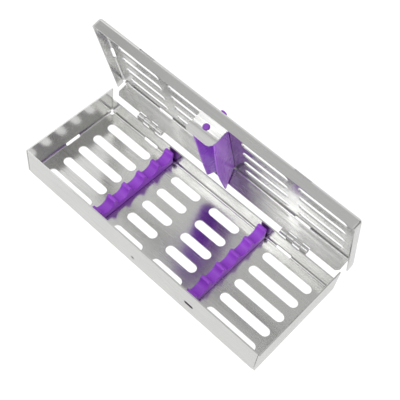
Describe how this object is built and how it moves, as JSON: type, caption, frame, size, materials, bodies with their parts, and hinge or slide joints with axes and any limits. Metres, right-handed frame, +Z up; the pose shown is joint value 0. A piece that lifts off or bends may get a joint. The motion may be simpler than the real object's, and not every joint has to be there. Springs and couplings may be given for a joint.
{
  "type": "dental instrument cassette",
  "caption": "Open-lidded steel cassette for dental instruments: slotted folded tray, hinged slotted lid with latch tongue, silicone racks and a silicone hold-down strip.",
  "frame": {"origin": "centre of the tray's flat underside", "axes": "+X along the long side, +Y from the latch side to the hinges, +Z up"},
  "size_m": [0.1826, 0.0819, 0.0883],
  "materials": {
    "tray_steel": "satin to mirror polished stainless sheet",
    "lid_steel": "satin to mirror polished stainless sheet",
    "pin_steel": "drawn stainless wire",
    "rack_silicone": "smooth matt silicone",
    "strip_silicone": "smooth matt silicone",
    "button_silicone": "smooth matt silicone"
  },
  "bodies": {
    "base": {"base_tray": "tray_steel", "left_hinge_pin": "pin_steel", "right_hinge_pin": "pin_steel", "left_instrument_rack": "rack_silicone", "right_instrument_rack": "rack_silicone"},
    "lid": {"lid": "lid_steel", "hold_down_strip": "strip_silicone", "latch_button": "button_silicone"}
  },
  "joints": [
    {"name": "lid_hinge", "type": "hinge", "parent": "base", "child": "lid", "pos_m": [0, 0.03545, 0.015], "axis": [-1, 0, 0], "range_deg": [-73.5, 106.5]}
  ]
}
